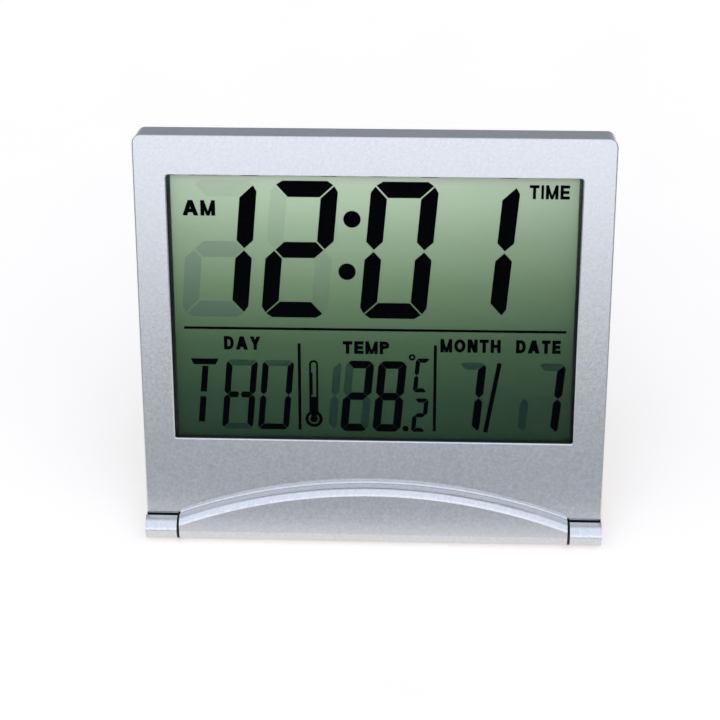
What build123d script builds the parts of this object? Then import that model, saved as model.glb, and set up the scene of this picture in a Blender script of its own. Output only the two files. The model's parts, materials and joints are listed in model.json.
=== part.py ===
from build123d import *
import os
from math import asin, atan2, cos, degrees, hypot, radians, sin, sqrt, tan

# Folding digital desk clock, in millimetres.
#
# The pieces are drawn in the clock's own frame: x to the right, y from the face
# towards the back and z up along the face, with the cover's hinge axis as origin.
# The cover is drawn closed over the face. Both are then stood up: the case leans
# back, the cover lies behind it as its stand, and +Z is up from the table.

os.makedirs("parts", exist_ok=True)

# Case, as seen from the front
case_width = 112.6
case_top = 99.2  # from the hinge axis up to the top edge
case_corner_radius = 2.2
inner_corner_share = 0.25  # least radius of the case's inner corners
face_edge_radius = 0.4
back_edge_chamfer = 0.4
lean_angle = 20.0  # the face leans back from upright

# Walls and the depth stack, from the face towards the back
case_wall = 1.5
face_wall = 1.6
window_lip = 0.8
lens_thickness = 1.0
bezel_thickness = 0.4
film_thickness = 0.2
glass_thickness = 0.7
board_gap = 0.5
board_thickness = 0.8
tallest_part_gap = 0.2  # from the tallest part on the board to the rear cover
rear_wall = 1.5

# Hinge and the arched boss between the cover's two knuckles
hinge_radius = 3.0
boss_height = 3.8  # the boss stands this far in front of the face
boss_top = 12.3
knuckle_width = 7.8
knuckle_gap = 0.6
arch_end_height = 3.45  # the arch's height where it meets the knuckles
arch_foot = 0.3  # a sloping strip this wide joins the face to the arch
boss_shoulder_radius = 2.0
boss_web = 0.4  # the boss runs this far in behind the face
pocket_end_height = 1.5  # of the hollow inside the boss, at its two ends
stop_gap = 0.1  # the open cover stops this far below the case
pin_radius = 0.8
pin_fit = 0.05
pin_depth = 4.5  # how far each pin reaches into the boss
pin_recess = 0.4

# Window and display
window_top_margin = 9.6
window_low_margin = 11.0  # from the boss's top up to the window
window_corner_radius = 0.5
window_edge_chamfer = 0.25
lens_overlap = 2.0
lens_fit = 0.1
lens_post_gap = 0.15
bezel_show = 0.7  # the dark frame shows this much at each side
glass_post_gap = 0.35
glass_border = 2.4
film_border = 1.2
contact_ledge = 2.8
ledge_above_window = 5.0
strip_width = 2.0
strip_end_gap = 2.4
glass_rib = 1.2
glass_rib_gap = 0.15
glass_rib_end_gap = 6.4

# Rear cover
cover_lip = 0.9  # the case's wall beside the rear cover
cover_fit = 0.1
cover_edge_chamfer = 0.2

hook_share = 0.55  # the hooks stand at this share of the half width
hook_width = 8.0
hook_root = 1.2
hook_thickness = 0.8
hook_depth = 1.6
hook_reach = 0.5
hook_fit = 0.1
peg_width = 2.4
peg_gap = 0.05

# Posts in the case and the rear cover's screws
side_post_width = 4.05
screw_floor_gap = 2.8
ledge_low_gap = 7.0
ledge_high_gap = 10.5
screw_radius = 0.75
screw_reach = 2.3
head_radius = 1.6
head_height = 0.7
head_bore_radius = 1.9
screw_slot = 0.35

# Board
board_side_gap = 0.3
board_above_glass = 0.5
board_low_gap = 0.5
chip_radius = 4.4
chip_slope = 1.3  # the resin's edge slopes in by this much
chip_height = 1.2
crystal_radius = 0.75
crystal_length = 5.1
crystal_height_share = 0.25
crystal_lead = 2.0
crystal_lead_width = 0.3
bead_radius = 0.7
bead_length = 1.6
bead_leg_width = 0.35
bead_leg_spread = 0.7
bead_drop = 5.0
bead_overlap = 2.0
chip_part_length = 2.0
chip_part_width = 1.25
chip_part_height = 0.6

# Keys and their switches
key_count = 5
key_pitch_share = 0.143
key_row_top_gap = 18.6
key_length = 9.0
key_width = 4.6
key_fit = 0.12
key_proud = 0.6
key_travel = 0.35
key_edge_chamfer = 0.3
key_flange_margin = 0.9
key_flange_gap = 0.05
key_panel_margin = 2.4
key_panel_depth = 0.4
switch_size = 5.2
switch_height = 0.8
switch_floor = 0.2
nub_width = 2.0
nub_fit = 0.12
nub_reach = 0.15
nub_stop_gap = 0.05

# Coin cell, its well and the turning cap
cell_radius = 10.0
cell_thickness = 2.5
cell_face_radius = 8.8
cell_step = 0.3
cell_fit = 0.3
cell_gap = 0.05
well_floor = 0.4
well_floor_gap = 0.15  # display to the well's floor
well_wall = 0.8
well_base_gap = 0.45
cap_leg_thickness = 0.65
cap_fit = 0.15
cap_thickness = 1.2
cap_lug_reach = 0.9
cap_lug_thickness = 0.6
cap_lug_gap = 0.2
cap_lug_count = 3
cap_lug_spread = 34.0
cap_notch_spread = 42.0
cap_turn = 50.0
coin_slot_length = 15.0
coin_slot_width = 2.0
coin_slot_depth = 0.6
contact_thickness = 0.15
contact_width = 4.0
contact_pad_width = 7.0
contact_reach = 4.0
contact_slot_gap = 0.4
leaf_height = 0.75
leaf_x = 5.4
leaf_tip = 3.0
leaf_spring = 0.6

# Buzzer and the slots over it
buzzer_radius = 10.5
buzzer_thickness = 0.25
ceramic_radius = 7.0
ceramic_thickness = 0.2
buzzer_rib_width = 1.2
buzzer_rib_height = 1.0
buzzer_rib_count = 3
buzzer_rib_spread = 30.0
lead_radius = 0.3
lead_slope = 1.6  # the wires slope over to the board in this height
lead_offset_share = 0.8
lead_overlap = 3.0
slot_length = 9.0
slot_width = 1.1
slot_pitch = 2.4
sound_slot_count = 5
vent_slot_count = 3

# Flip cover
cover_setback = 1.0  # its free edge stops this far short of the case's top
closed_gap = 0.6  # from the face to the closed cover
cover_skin = 1.7
cover_rim = 2.0
cover_corner_radius = 3.0
cover_outer_radius = 0.7
cover_rib_width = 1.2
cover_rib_drop = 0.5
cover_rib_share = 0.34  # the ribs stand at this share of the half width
arch_gap = 0.65
arm_solid = 8.0
free_edge_land = 8.0
thumb_width = 20.0
thumb_depth = 1.6
thumb_corner_radius = 6.0
pad_length = 16.0
pad_width = 4.0
pad_seat = 0.6
pad_fit = 0.1
pad_proud = 0.3
pad_edge_gap = 2.0
pad_side_gap = 5.0

# How far a cutting shape runs past what it cuts
overrun = 2.0

# Angles of a quarter and a full turn
quarter_turn = 90.0
full_turn = 360.0

# Depths of the stack
face_y = boss_height - hinge_radius
inner_face_y = face_y + face_wall
lens_y = face_y + window_lip
bezel_y = lens_y + lens_thickness
polariser_y = bezel_y + bezel_thickness
front_glass_y = polariser_y + film_thickness
rear_glass_y = front_glass_y + glass_thickness
reflector_y = rear_glass_y + glass_thickness
display_back_y = reflector_y + film_thickness
board_y = display_back_y + board_gap
board_back_y = board_y + board_thickness
well_y = display_back_y + well_floor_gap
cell_y = well_y + well_floor + contact_thickness + cell_gap
cap_y = cell_y + cell_thickness + cell_gap
board_stack_y = board_back_y + 2 * crystal_radius + tallest_part_gap + rear_wall
cell_stack_y = cap_y + cap_thickness
back_y = max(board_stack_y, cell_stack_y)
rear_cover_y = back_y - rear_wall

# How the open cover lies, from the pads that touch the table
cover_top = case_top - cover_setback
cover_inner_y = face_y - closed_gap
pad_z = cover_top - pad_edge_gap - pad_width / 2
pad_face_y = cover_inner_y + pad_proud
cover_droop = degrees(
    asin(hinge_radius / hypot(pad_z, pad_face_y)) - atan2(pad_face_y, pad_z)
)
base_tilt = lean_angle - cover_droop  # slope of the case's bottom
cover_swing = full_turn - quarter_turn - cover_droop + lean_angle

# Places that follow from the sizes above
half_width = case_width / 2
boss_half_width = half_width - knuckle_width - knuckle_gap
arch_drop = boss_top - arch_end_height
arch_radius = (boss_half_width**2 + arch_drop**2) / (2 * arch_drop)
arch_centre_z = boss_top - arch_radius
inner_half_width = half_width - case_wall
inner_top_z = case_top - case_wall
side_post_x = inner_half_width - side_post_width / 2
lens_half_width = inner_half_width - side_post_width - lens_post_gap
window_half_width = lens_half_width - lens_overlap
window_low_z = boss_top + window_low_margin
window_high_z = case_top - window_top_margin
window_z = (window_low_z + window_high_z) / 2
window_width = 2 * window_half_width
window_height = window_high_z - window_low_z
glass_half_width = inner_half_width - side_post_width - glass_post_gap
glass_low_z = window_low_z - glass_border
glass_high_z = window_high_z + ledge_above_window
cap_bore = cell_radius + cell_fit + cap_leg_thickness + cap_fit
lug_radius = cap_bore + cap_lug_reach - cap_fit
well_bore = lug_radius + cap_fit
well_radius = well_bore + well_wall
cap_lug_y = rear_cover_y - cap_lug_gap - cap_lug_thickness
cap_radius = cap_bore - cap_fit
hook_y = rear_cover_y - hook_depth
head_seat_y = back_y - head_height - cover_fit


def base_height(inset, depth):
    """Height of the case's sloping bottom, moved in by inset, at a depth."""
    reach = hinge_radius + stop_gap + inset
    return (reach + depth * sin(radians(base_tilt))) / cos(radians(base_tilt))


floor_z = base_height(case_wall, rear_cover_y)
cell_z = floor_z + well_base_gap + well_radius
board_low_z = cell_z + well_radius + board_low_gap
board_high_z = glass_high_z + board_above_glass
board_half_width = inner_half_width - board_side_gap
board_z = (board_low_z + board_high_z) / 2
screw_z = base_height(case_wall, back_y) + screw_floor_gap + side_post_width / 2
ledge_low_z = board_low_z + ledge_low_gap
ledge_high_z = board_high_z - ledge_high_gap
key_pitch = case_width * key_pitch_share
key_row_z = case_top - key_row_top_gap
vent_x = (well_radius + inner_half_width) / 2
buzzer_x = -vent_x
cover_rib_x = half_width * cover_rib_share
pad_x = half_width - pad_side_gap - pad_length / 2


# Ways to draw


def slab(sketch, front, back):
    """Thickens a sketch drawn in x and z, from one depth to another."""
    flat = Plane.XZ.offset(-front) * sketch
    return extrude(flat, amount=back - front, dir=(0, 1, 0))


def turned(profile, x, z):
    """Turns a profile drawn in radius and depth about a line along the depth."""
    return Pos(x, 0, z) * revolve(profile, Axis.Y)


def bar(radius, left, right):
    """A round bar on the hinge axis, from one x to another."""
    length = right - left
    return Pos((left + right) / 2, 0, 0) * Rot(0, quarter_turn, 0) * Cylinder(radius, length)


def at_depth(shape, depth):
    """The shape's edges that lie at one depth."""
    return shape.edges().filter_by_position(Axis.Y, depth, depth)


def case_block(inset, front, back):
    """The case's outline moved in by inset, with its sloping bottom."""
    width = 2 * (half_width - inset)
    top = case_top - inset
    bottom = -hinge_radius
    radius = max(case_corner_radius - inset, case_corner_radius * inner_corner_share)
    outline = Pos(0, (top + bottom) / 2) * RectangleRounded(width, top - bottom, radius)
    depth = back - front
    reach = hinge_radius + stop_gap + inset
    size = case_width + case_top + depth
    below = Box(size, size, size, align=(Align.CENTER, Align.CENTER, Align.MAX))
    return slab(outline, front, back) - Rot(base_tilt, 0, 0) * Pos(0, 0, reach) * below


def arch(margin, half_span, low):
    """The region under the boss's arch, grown by margin, above a height."""
    radius = arch_radius + margin
    span = degrees(asin(half_span / radius))
    curve = CenterArc((0, arch_centre_z), radius, quarter_turn - span, 2 * span)
    foot = Polyline(curve @ 0, (half_span, low), (-half_span, low), curve @ 1)
    return make_face([curve, foot])


def sector(inner, outer, middle, spread):
    """Part of a ring, spread degrees wide about the middle angle."""
    side = outer * tan(radians(spread / 2)) * 2
    wedge = Polygon((0, 0), (2 * outer, -side), (2 * outer, side), align=None)
    return Rot(0, 0, middle) * ((Circle(outer) - Circle(inner)) & wedge)


def both_sides(x, z):
    """A place on each side of the clock."""
    return [Pos(-x, z), Pos(x, z)]


def key_places():
    """Where the keys stand, from left to right as seen from the front."""
    middle = (key_count - 1) / 2
    return [(index - middle) * key_pitch for index in range(key_count)]


# Case


def boss():
    """The arched boss with the barrel that carries both hinge pins."""
    block = slab(arch(0, boss_half_width, 0), -hinge_radius, face_y + boss_web)
    front_edges = at_depth(block, -hinge_radius)
    shoulder = front_edges.filter_by(GeomType.CIRCLE)
    block = fillet(shoulder, boss_shoulder_radius)
    return block + arch_strip() + bar(hinge_radius, -boss_half_width, boss_half_width)


def arch_strip():
    """The sloping strip that joins the face to the boss's arch."""
    front = face_y - arch_foot
    back = face_y + boss_web
    outer = arch_radius + arch_foot
    profile = Polygon(
        (arch_radius, front), (outer, face_y), (outer, back), (arch_radius, back), align=None
    )
    span = Rectangle(2 * boss_half_width, boss_top, align=(Align.CENTER, Align.MIN))
    return turned(profile, 0, arch_centre_z) & slab(Pos(0, arch_foot) * span, front, back)


def boss_pocket():
    """The hollow inside the boss, open to the case."""
    low = hinge_radius + face_wall
    end_rise = low + pocket_end_height - arch_centre_z
    half_span = sqrt((arch_radius - face_wall) ** 2 - end_rise**2)
    return slab(arch(-face_wall, half_span, low), face_wall - hinge_radius, inner_face_y)


def window_outline(margin):
    """The window's rounded outline, grown by a margin."""
    width = window_width + 2 * margin
    height = window_height + 2 * margin
    return Pos(0, window_z) * RectangleRounded(width, height, window_corner_radius + margin)


def window_cut():
    """The window with its sloping front edge, and the seat behind it for the lens."""
    slope_y = face_y + window_edge_chamfer
    mouth = slab(window_outline(window_edge_chamfer), face_y - overrun, slope_y)
    mouth = chamfer(at_depth(mouth, slope_y), window_edge_chamfer)
    margin = 2 * (lens_overlap + lens_fit)
    seat = Pos(0, window_z) * Rectangle(window_width + margin, window_height + margin)
    return mouth + slab(window_outline(0), face_y, lens_y) + slab(seat, lens_y, inner_face_y)


def ledge_places():
    """Where the board rests on the case, beside the display."""
    return both_sides(side_post_x, ledge_low_z) + both_sides(side_post_x, ledge_high_z)


def side_posts():
    """Posts along the side walls: two for screws, and four ledges for the board."""
    post = Rectangle(side_post_width, side_post_width)
    posts = [slab(place * post, inner_face_y, board_y) for place in ledge_places()]
    for place in both_sides(side_post_x, screw_z):
        hole = slab(place * Circle(screw_radius), rear_cover_y - screw_reach, rear_cover_y)
        posts.append(slab(place * post, inner_face_y, rear_cover_y) - hole)
    return posts


def hook_blocks(clearance):
    """The noses of the rear cover's two hooks, grown by a clearance."""
    high = inner_top_z + hook_reach + clearance
    low = inner_top_z - hook_root
    nose = Rectangle(hook_width + 2 * clearance, high - low)
    back = hook_y + hook_thickness + clearance
    places = both_sides(half_width * hook_share, (high + low) / 2)
    return [slab(place * nose, hook_y - clearance, back) for place in places]


def front_case():
    """Face, walls and boss in one moulding, open at the back."""
    block = case_block(0, face_y, back_y)
    block = fillet(at_depth(block, face_y), face_edge_radius)
    block = chamfer(at_depth(block, back_y), back_edge_chamfer)
    block += boss()
    block -= case_block(case_wall, inner_face_y, rear_cover_y)
    block -= case_block(cover_lip, rear_cover_y, back_y + overrun)
    block -= boss_pocket()
    block -= window_cut()
    rib_z = glass_low_z - glass_rib_gap - glass_rib / 2
    rib = Pos(0, rib_z) * Rectangle(2 * (glass_half_width - glass_rib_end_gap), glass_rib)
    block += slab(rib, inner_face_y, reflector_y)
    block += side_posts()
    block -= hook_blocks(hook_fit)
    for side in (-1, 1):
        inner = side * (boss_half_width - pin_depth - pin_fit)
        outer = side * (boss_half_width + overrun)
        block -= bar(pin_radius + pin_fit, min(inner, outer), max(inner, outer))
    return block


# Display


def window_lens():
    """Clear plate seated behind the window's lip."""
    height = window_height + 2 * lens_overlap
    return slab(Pos(0, window_z) * Rectangle(2 * lens_half_width, height), lens_y, bezel_y)


def lcd_bezel():
    """Dark frame between the lens and the display."""
    height = window_height + 2 * lens_overlap
    outer = Rectangle(2 * glass_half_width, height)
    inner = Rectangle(window_width - 2 * bezel_show, window_height)
    return slab(Pos(0, window_z) * (outer - inner), bezel_y, polariser_y)


def film(front):
    """One of the display's two polarising films."""
    width = window_width + 2 * film_border
    height = window_height + 2 * film_border
    return slab(Pos(0, window_z) * Rectangle(width, height), front, front + film_thickness)


def glass(front, high):
    """One of the display's two glass plates."""
    height = high - glass_low_z
    sheet = Pos(0, glass_low_z + height / 2) * Rectangle(2 * glass_half_width, height)
    return slab(sheet, front, front + glass_thickness)


def connector_strip():
    """Rubber strip from the front glass's contact ledge to the board."""
    z = glass_high_z - contact_ledge / 2
    sheet = Pos(0, z) * Rectangle(2 * (glass_half_width - strip_end_gap), strip_width)
    return slab(sheet, rear_glass_y, board_y)


# Board


def circuit_board():
    """The board, held between the case's ledges and the rear cover's pegs."""
    sheet = Pos(0, board_z) * Rectangle(2 * board_half_width, board_high_z - board_low_z)
    return slab(sheet, board_y, board_back_y)


def clock_chip():
    """The clock chip under its drop of black resin."""
    top = board_back_y + chip_height
    profile = Polygon(
        (0, board_back_y),
        (chip_radius, board_back_y),
        (chip_radius - chip_slope, top),
        (0, top),
        align=None,
    )
    return turned(profile, 0, board_z)


def quartz_crystal():
    """Small can lying on the board, with two leads."""
    x = vent_x
    z = board_low_z + (board_high_z - board_low_z) * crystal_height_share
    can = Pos(x, board_back_y + crystal_radius, z) * Rot(0, quarter_turn, 0)
    piece = can * Cylinder(crystal_radius, crystal_length)
    for side in (-1, 1):
        lead_z = z + side * crystal_radius / 2
        length = crystal_length / 2 + crystal_lead
        middle = Pos(x - length / 2, board_back_y + crystal_radius / 2, lead_z)
        piece += middle * Box(length, crystal_lead_width, crystal_lead_width)
    return piece


def thermistor():
    """Bead on two legs that hangs below the board, behind the vent slots."""
    y = board_back_y + bead_leg_width / 2
    low = board_low_z - bead_drop
    piece = Pos(vent_x, y, low) * Cylinder(bead_radius, bead_length)
    length = bead_drop + bead_overlap
    for side in (-1, 1):
        x = vent_x + side * bead_leg_spread / 2
        piece += Pos(x, y, low + length / 2) * Box(bead_leg_width, bead_leg_width, length)
    return piece


def board_components():
    """Small chip parts, at shares of the board's half width and height."""
    place_shares = (
        (-0.62, -0.35),
        (-0.5, -0.35),
        (-0.38, -0.35),
        (-0.62, -0.1),
        (0.3, -0.2),
        (0.3, -0.42),
        (0.42, -0.42),
        (0.78, 0.1),
    )
    half_height = (board_high_z - board_low_z) / 2
    part = Rectangle(chip_part_length, chip_part_width)
    parts = [
        Pos(board_half_width * across, board_z + half_height * up) * part
        for across, up in place_shares
    ]
    return slab(Sketch() + parts, board_back_y, board_back_y + chip_part_height)


def switch_bodies():
    """Slim switch bodies, each with an opening for its key's nub."""
    body = Rectangle(switch_size, switch_size)
    opening = Rectangle(nub_width + 2 * nub_fit, nub_width + 2 * nub_fit)
    back = board_back_y + switch_height
    blocks = [slab(Pos(x, key_row_z) * body, board_back_y, back) for x in key_places()]
    holes = [
        slab(Pos(x, key_row_z) * opening, board_back_y + switch_floor, back)
        for x in key_places()
    ]
    return Part() + blocks - holes


# Keys


def key(x):
    """A key: cap, inner flange and the nub that works the switch."""
    flange_back = rear_cover_y - key_flange_gap
    switch_back = board_back_y + switch_height
    flange_front = switch_back + key_travel + nub_stop_gap
    tip = switch_back - nub_reach
    place = Pos(x, key_row_z)
    top_y = back_y + key_proud - key_panel_depth
    cap = slab(place * SlotOverall(key_length, key_width), flange_back, top_y)
    cap = chamfer(at_depth(cap, top_y), key_edge_chamfer)
    flange = Rectangle(key_length + 2 * key_flange_margin, key_width + 2 * key_flange_margin)
    cap += slab(place * flange, flange_front, flange_back)
    return cap + slab(place * Rectangle(nub_width, nub_width), tip, flange_front)


# Rear cover


def slot_rows(x, count):
    """A stack of slots about the height of the coin cell."""
    middle = (count - 1) / 2
    return [
        Pos(x, cell_z + (index - middle) * slot_pitch) * Rectangle(slot_length, slot_width)
        for index in range(count)
    ]


def cell_well():
    """Round well for the coin cell, open where the contacts pass."""
    bore = cell_radius + cell_fit
    step_y = cap_lug_y - cap_lug_gap
    profile = Polygon(
        (0, well_y),
        (well_radius, well_y),
        (well_radius, rear_cover_y),
        (well_bore, rear_cover_y),
        (well_bore, step_y),
        (bore, step_y),
        (bore, well_y + well_floor),
        (0, well_y + well_floor),
        align=None,
    )
    well = turned(profile, 0, cell_z)
    left = -leaf_tip - contact_slot_gap
    right = leaf_x + contact_thickness + contact_slot_gap
    low = cell_radius - cell_step
    high = well_radius + overrun
    gate = Pos((left + right) / 2, cell_z + (low + high) / 2)
    gate *= Rectangle(right - left, high - low)
    return well - slab(gate, well_y + well_floor, rear_cover_y)


def cap_opening():
    """The cap's opening, with notches that let its lugs in."""
    sketch = Circle(cap_bore)
    for index in range(cap_lug_count):
        middle = quarter_turn + index * full_turn / cap_lug_count - cap_turn
        sketch += sector(cap_bore - cap_lug_reach, lug_radius + cap_fit, middle, cap_notch_spread)
    return Pos(0, cell_z) * sketch


def rear_cover_holes():
    """What goes right through the rear cover's plate."""
    hole = SlotOverall(key_length + 2 * key_fit, key_width + 2 * key_fit)
    holes = [Pos(x, key_row_z) * hole for x in key_places()]
    holes += slot_rows(buzzer_x, sound_slot_count)
    holes += slot_rows(vent_x, vent_slot_count)
    holes += [place * Circle(screw_radius) for place in both_sides(side_post_x, screw_z)]
    return Sketch() + holes + cap_opening()


def buzzer_ribs():
    """Short ribs under the rim of the buzzer."""
    inner = buzzer_radius - buzzer_rib_width
    ribs = [
        sector(inner, buzzer_radius, index * full_turn / buzzer_rib_count, buzzer_rib_spread)
        for index in range(buzzer_rib_count)
    ]
    return Pos(buzzer_x, cell_z) * (Sketch() + ribs)


def rear_cover():
    """Flat cover let into the back of the case."""
    plate = case_block(cover_lip + cover_fit, rear_cover_y, back_y)
    plate = chamfer(at_depth(plate, back_y), cover_edge_chamfer)
    row_length = (key_count - 1) * key_pitch + key_length
    panel = SlotOverall(row_length + 2 * key_panel_margin, key_width + 2 * key_panel_margin)
    plate -= slab(Pos(0, key_row_z) * panel, back_y - key_panel_depth, back_y + overrun)
    plate -= slab(rear_cover_holes(), rear_cover_y - overrun, back_y + overrun)
    for place in both_sides(side_post_x, screw_z):
        plate -= slab(place * Circle(head_bore_radius), head_seat_y, back_y + overrun)
    plate += cell_well()
    plate += slab(buzzer_ribs(), rear_cover_y - buzzer_rib_height, rear_cover_y)
    peg = Rectangle(peg_width, peg_width)
    plate += [slab(place * peg, board_back_y + peg_gap, rear_cover_y) for place in ledge_places()]
    root_z = inner_top_z - (hook_root + hook_fit) / 2
    root = Rectangle(hook_width, hook_root - hook_fit)
    roots = both_sides(half_width * hook_share, root_z)
    plate += [slab(place * root, hook_y, rear_cover_y) for place in roots]
    return plate + hook_blocks(0)


# Power


def coin_cell():
    """Coin cell, its smaller face towards the display."""
    profile = Polygon(
        (0, cell_y),
        (cell_face_radius, cell_y),
        (cell_radius, cell_y + cell_step),
        (cell_radius, cell_y + cell_thickness),
        (0, cell_y + cell_thickness),
        align=None,
    )
    return turned(profile, 0, cell_z)


def negative_contact():
    """Flat strip under the cell, stepped up onto the back of the board."""
    front = well_y + well_floor
    low = cell_z
    turn_z = board_low_z - board_back_y + front - contact_thickness
    path = [
        (front, low),
        (front, turn_z),
        (board_back_y, board_low_z - contact_thickness),
        (board_back_y, board_low_z + contact_reach),
    ]
    outline = path + [(y + contact_thickness, z) for y, z in reversed(path)]
    strip = Plane.YZ.offset(-contact_width / 2) * Polygon(*outline, align=None)
    sheet = Pos(0, low) * Rectangle(contact_pad_width, contact_pad_width)
    pad = slab(sheet, front, front + contact_thickness)
    return extrude(strip, amount=contact_width, dir=(1, 0, 0)) + pad


def positive_contact():
    """Leaf that stands on the board and leans on the cell's rim."""
    rim = cell_z + cell_radius + cell_gap
    inner = [
        (-leaf_tip, rim + leaf_spring),
        (0, rim),
        (leaf_x, rim + leaf_spring),
        (leaf_x, board_low_z + contact_reach),
    ]
    outer = [
        (leaf_x - contact_thickness, board_low_z + contact_reach),
        (leaf_x - contact_thickness, rim + leaf_spring + contact_thickness),
        (0, rim + contact_thickness),
        (-leaf_tip, rim + leaf_spring + contact_thickness),
    ]
    leaf = Polygon(*inner, *outer, align=None)
    return slab(leaf, board_back_y, board_back_y + leaf_height)


def battery_cap():
    """Round cap with a coin slot, held by three lugs under the cover's rim."""
    place = Pos(0, cell_z)
    disc = slab(place * Circle(cap_radius), cap_y, back_y)
    inner = cap_radius - cap_leg_thickness
    for index in range(cap_lug_count):
        middle = quarter_turn + index * full_turn / cap_lug_count
        leg = sector(inner, cap_radius, middle, cap_lug_spread)
        lug = sector(inner, lug_radius, middle, cap_lug_spread)
        disc += slab(place * leg, cap_lug_y, cap_y)
        disc += slab(place * lug, cap_lug_y, cap_lug_y + cap_lug_thickness)
    groove = SlotOverall(coin_slot_length, coin_slot_width)
    return disc - slab(place * groove, back_y - coin_slot_depth, back_y + overrun)


# Buzzer


def buzzer_disc():
    """Brass disc on the rear cover's ribs."""
    back = rear_cover_y - buzzer_rib_height
    return slab(Pos(buzzer_x, cell_z) * Circle(buzzer_radius), back - buzzer_thickness, back)


def buzzer_ceramic():
    """Thin ceramic on the front of the brass disc."""
    back = rear_cover_y - buzzer_rib_height - buzzer_thickness
    return slab(Pos(buzzer_x, cell_z) * Circle(ceramic_radius), back - ceramic_thickness, back)


def lead(x, start_y, start_z):
    """One wire, up from the buzzer and over the back of the board."""
    end_y = board_back_y + lead_radius
    bend_z = board_low_z - lead_slope
    path = Polyline(
        (x, start_y, start_z),
        (x, start_y, bend_z),
        (x, end_y, board_low_z),
        (x, end_y, board_low_z + lead_overlap),
    )
    section = Plane(origin=path @ 0, z_dir=(0, 0, 1)) * RegularPolygon(lead_radius, 6)
    return sweep(section, path=path, transition=Transition.RIGHT)


def buzzer_leads():
    """The two wires, one from the ceramic and one from the brass rim."""
    disc_front = rear_cover_y - buzzer_rib_height - buzzer_thickness
    ceramic_front = disc_front - ceramic_thickness
    rim_x = buzzer_x + buzzer_radius * lead_offset_share
    first = lead(buzzer_x, ceramic_front - lead_radius, cell_z + ceramic_radius / 2)
    return Part() + [first, lead(rim_x, disc_front - lead_radius, cell_z)]


# Screws


def screw():
    """A slotted screw, its head seated in the rear cover."""
    head = slab(Circle(head_radius), head_seat_y, head_seat_y + head_height)
    slot = Rectangle(2 * head_radius + overrun, screw_slot)
    head -= slab(slot, head_seat_y + head_height / 2, back_y + overrun)
    return head + slab(Circle(screw_radius), rear_cover_y - screw_reach, head_seat_y)


def case_screws():
    """The two screws at the rear cover's lower corners."""
    return Part() + [Pos(side * side_post_x, 0, screw_z) * screw() for side in (-1, 1)]


# Flip cover, drawn closed


def cover_outline():
    """The cover's outline, with its arched edge and the thumb notch."""
    sheet = Rectangle(case_width, 2 * cover_top)
    corners = sheet.vertices().filter_by_position(Axis.Y, cover_top, cover_top)
    sheet = fillet(corners, cover_corner_radius)
    sheet &= Pos(0, cover_top) * Rectangle(2 * case_width, 2 * cover_top)
    sheet -= arch(arch_gap, boss_half_width + knuckle_gap, -overrun)
    thumb_radius = (thumb_width**2 / 4 + thumb_depth**2) / (2 * thumb_depth)
    sheet -= Pos(0, cover_top - thumb_depth + thumb_radius) * Circle(thumb_radius)
    notch_ends = sheet.vertices().filter_by(
        lambda corner: abs(corner.X) < thumb_width and corner.Y > cover_top - thumb_depth
    )
    return fillet(notch_ends, thumb_corner_radius)


def cover_pocket():
    """The hollow of the inner side, inside a rim and round two ribs."""
    high = cover_top - free_edge_land
    width = case_width - 2 * cover_rim
    pocket = Pos(0, (arm_solid + high) / 2) * Rectangle(width, high - arm_solid)
    pocket -= arch(arch_gap + cover_rim, half_width, 0)
    solid = slab(pocket, cover_skin - hinge_radius, cover_inner_y + overrun)
    for side in (-1, 1):
        middle = Pos(side * cover_rib_x, high / 2)
        rib = middle * Rectangle(cover_rib_width, high + overrun)
        solid -= slab(rib, -hinge_radius, cover_inner_y - cover_rib_drop)
    return solid


def pad_place(side):
    """A rubber pad's place on the cover's free edge."""
    return Pos(side * pad_x, pad_z)


def table_half():
    """Everything below the table, seen from the closed cover."""
    size = case_width + case_top
    below = Box(size, size, size, align=(Align.CENTER, Align.MIN, Align.CENTER))
    return Rot(cover_droop, 0, 0) * Pos(0, hinge_radius, 0) * below


def flip_cover():
    """Cover that shuts over the face and opens into the stand."""
    plate = slab(cover_outline(), -hinge_radius, cover_inner_y)
    outer = at_depth(plate, -hinge_radius)
    plate = fillet(
        outer.filter_by(lambda edge: edge.center().Z > boss_top + cover_rim), cover_outer_radius
    )
    inner_x = boss_half_width + knuckle_gap
    plate += [bar(hinge_radius, inner_x, half_width), bar(hinge_radius, -half_width, -inner_x)]
    plate -= cover_pocket()
    plate -= bar(pin_radius, -half_width - overrun, half_width + overrun)
    for side in (-1, 1):
        seat = Rectangle(pad_length + 2 * pad_fit, pad_width + 2 * pad_fit)
        plate -= slab(pad_place(side) * seat, cover_inner_y - pad_seat, cover_inner_y)
    return plate


def hinge_pin(side):
    """Steel pin pressed into a knuckle and turning in the boss."""
    inner = side * (boss_half_width - pin_depth)
    outer = side * (half_width - pin_recess)
    return bar(pin_radius, min(inner, outer), max(inner, outer))


def cover_pads():
    """Two rubber pads, cut flat where they rest on the table."""
    pads = []
    for side in (-1, 1):
        sheet = pad_place(side) * Rectangle(pad_length, pad_width)
        thick = slab(sheet, cover_inner_y - pad_seat, pad_face_y + overrun)
        pads.append(thick - table_half())
    return Part() + pads


# Standing up


def stand_shift():
    """Moves the clock so that its footprint is centred on the origin."""
    droop = radians(cover_droop)
    along = (cover_top - cover_outer_radius) * cos(droop)
    across = (hinge_radius - cover_outer_radius) * sin(droop)
    return -(along + across + cover_outer_radius - hinge_radius) / 2


def stand(shape, turn):
    """Stands a piece up on the table, after turning it about the hinge."""
    return Pos(0, stand_shift(), hinge_radius) * Rot(turn - lean_angle, 0, 0) * shape


def save(name, shape, turn=0):
    """Writes one piece, standing as the clock stands."""
    export_step(stand(shape, turn), "parts/" + name + ".step")


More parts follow.
